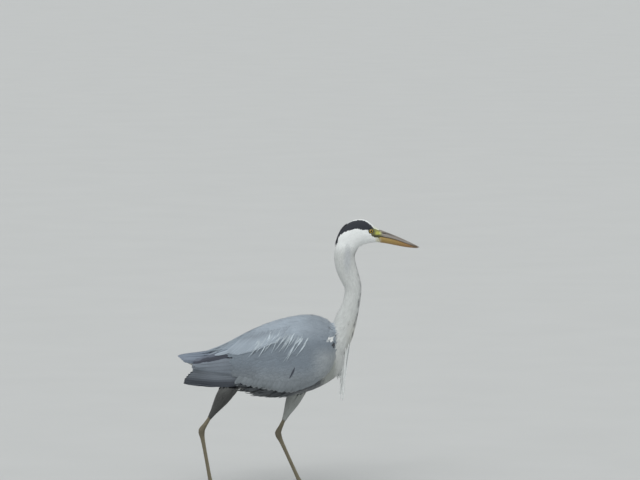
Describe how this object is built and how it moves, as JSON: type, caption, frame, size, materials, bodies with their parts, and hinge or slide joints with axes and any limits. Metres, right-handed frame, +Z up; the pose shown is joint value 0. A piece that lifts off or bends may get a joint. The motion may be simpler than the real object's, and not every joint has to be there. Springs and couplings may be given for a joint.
{
  "type": "grey heron model",
  "caption": "Life-size still model of a standing grey heron in a slow wading stride, neck raised and wings folded, resting on its toes on a level floor.",
  "frame": {"origin": "on the floor under the middle of the bird's box", "axes": "+X the way the bill points, +Y the bird's left side, +Z up"},
  "size_m": [0.645, 0.1686, 0.7177],
  "materials": {
    "plumage_mantle": "matte blue-grey contour feathers",
    "plumage_wing": "matte grey covert and tail feathers",
    "plumage_flight": "dark slate flight feathers with a faint sheen",
    "plumage_pale": "matte white and pale grey feathers",
    "plumage_black": "black feathers with a faint sheen",
    "bill_upper": "satin grey horn",
    "bill_lower": "satin orange-yellow horn",
    "eye": "glossy yellow iris with a black pupil",
    "leg_skin": "scaly grey-brown leg skin",
    "claw": "satin dark horn"
  },
  "bodies": {
    "root": {"bill_lower": "bill_lower", "bill_upper": "bill_upper", "breast_plumes": "plumage_pale", "claw_left_1": "claw", "claw_left_2": "claw", "claw_left_3": "claw", "claw_left_4": "claw", "claw_right_1": "claw", "claw_right_2": "claw", "claw_right_3": "claw", "claw_right_4": "claw", "crest": "plumage_black", "eye_left": "eye", "eye_right": "eye", "foot_left": "leg_skin", "foot_right": "leg_skin", "head": "plumage_pale", "neck_lower": "plumage_pale", "neck_upper": "plumage_pale", "primaries_left": "plumage_flight", "primaries_right": "plumage_flight", "shank_left": "leg_skin", "shank_right": "leg_skin", "tail": "plumage_wing", "tertials_left": "plumage_wing", "tertials_right": "plumage_wing", "thigh_left": "plumage_pale", "thigh_right": "plumage_pale", "toe_left_1": "leg_skin", "toe_left_2": "leg_skin", "toe_left_3": "leg_skin", "toe_left_4": "leg_skin", "toe_right_1": "leg_skin", "toe_right_2": "leg_skin", "toe_right_3": "leg_skin", "toe_right_4": "leg_skin", "trunk": "plumage_mantle", "wing_left": "plumage_wing", "wing_right": "plumage_wing"}
  },
  "joints": []
}
